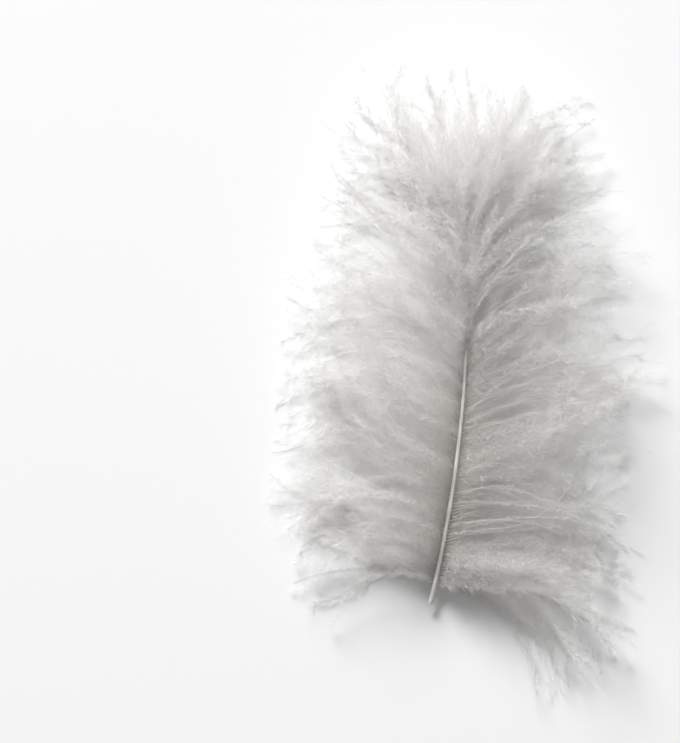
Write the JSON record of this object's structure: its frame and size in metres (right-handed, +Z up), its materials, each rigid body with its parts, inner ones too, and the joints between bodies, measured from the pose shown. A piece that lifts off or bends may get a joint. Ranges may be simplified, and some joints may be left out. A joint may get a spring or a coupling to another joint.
{
  "type": "down feather",
  "caption": "Loose white down feather lying flat, with a slender curved shaft and long soft barbs that arch away on both sides and fan out at its crown.",
  "frame": {"origin": "on the surface that the feather lies on, under the middle of the box around it", "axes": "+Y from the cut end of the quill towards the crown, +X to the right as seen from above, +Z up out of the surface"},
  "size_m": [0.1016, 0.1614, 0.0269],
  "materials": {
    "down": "soft matte, with a satin ivory shaft"
  },
  "bodies": {
    "root": {"down_feather": "down"}
  },
  "joints": []
}
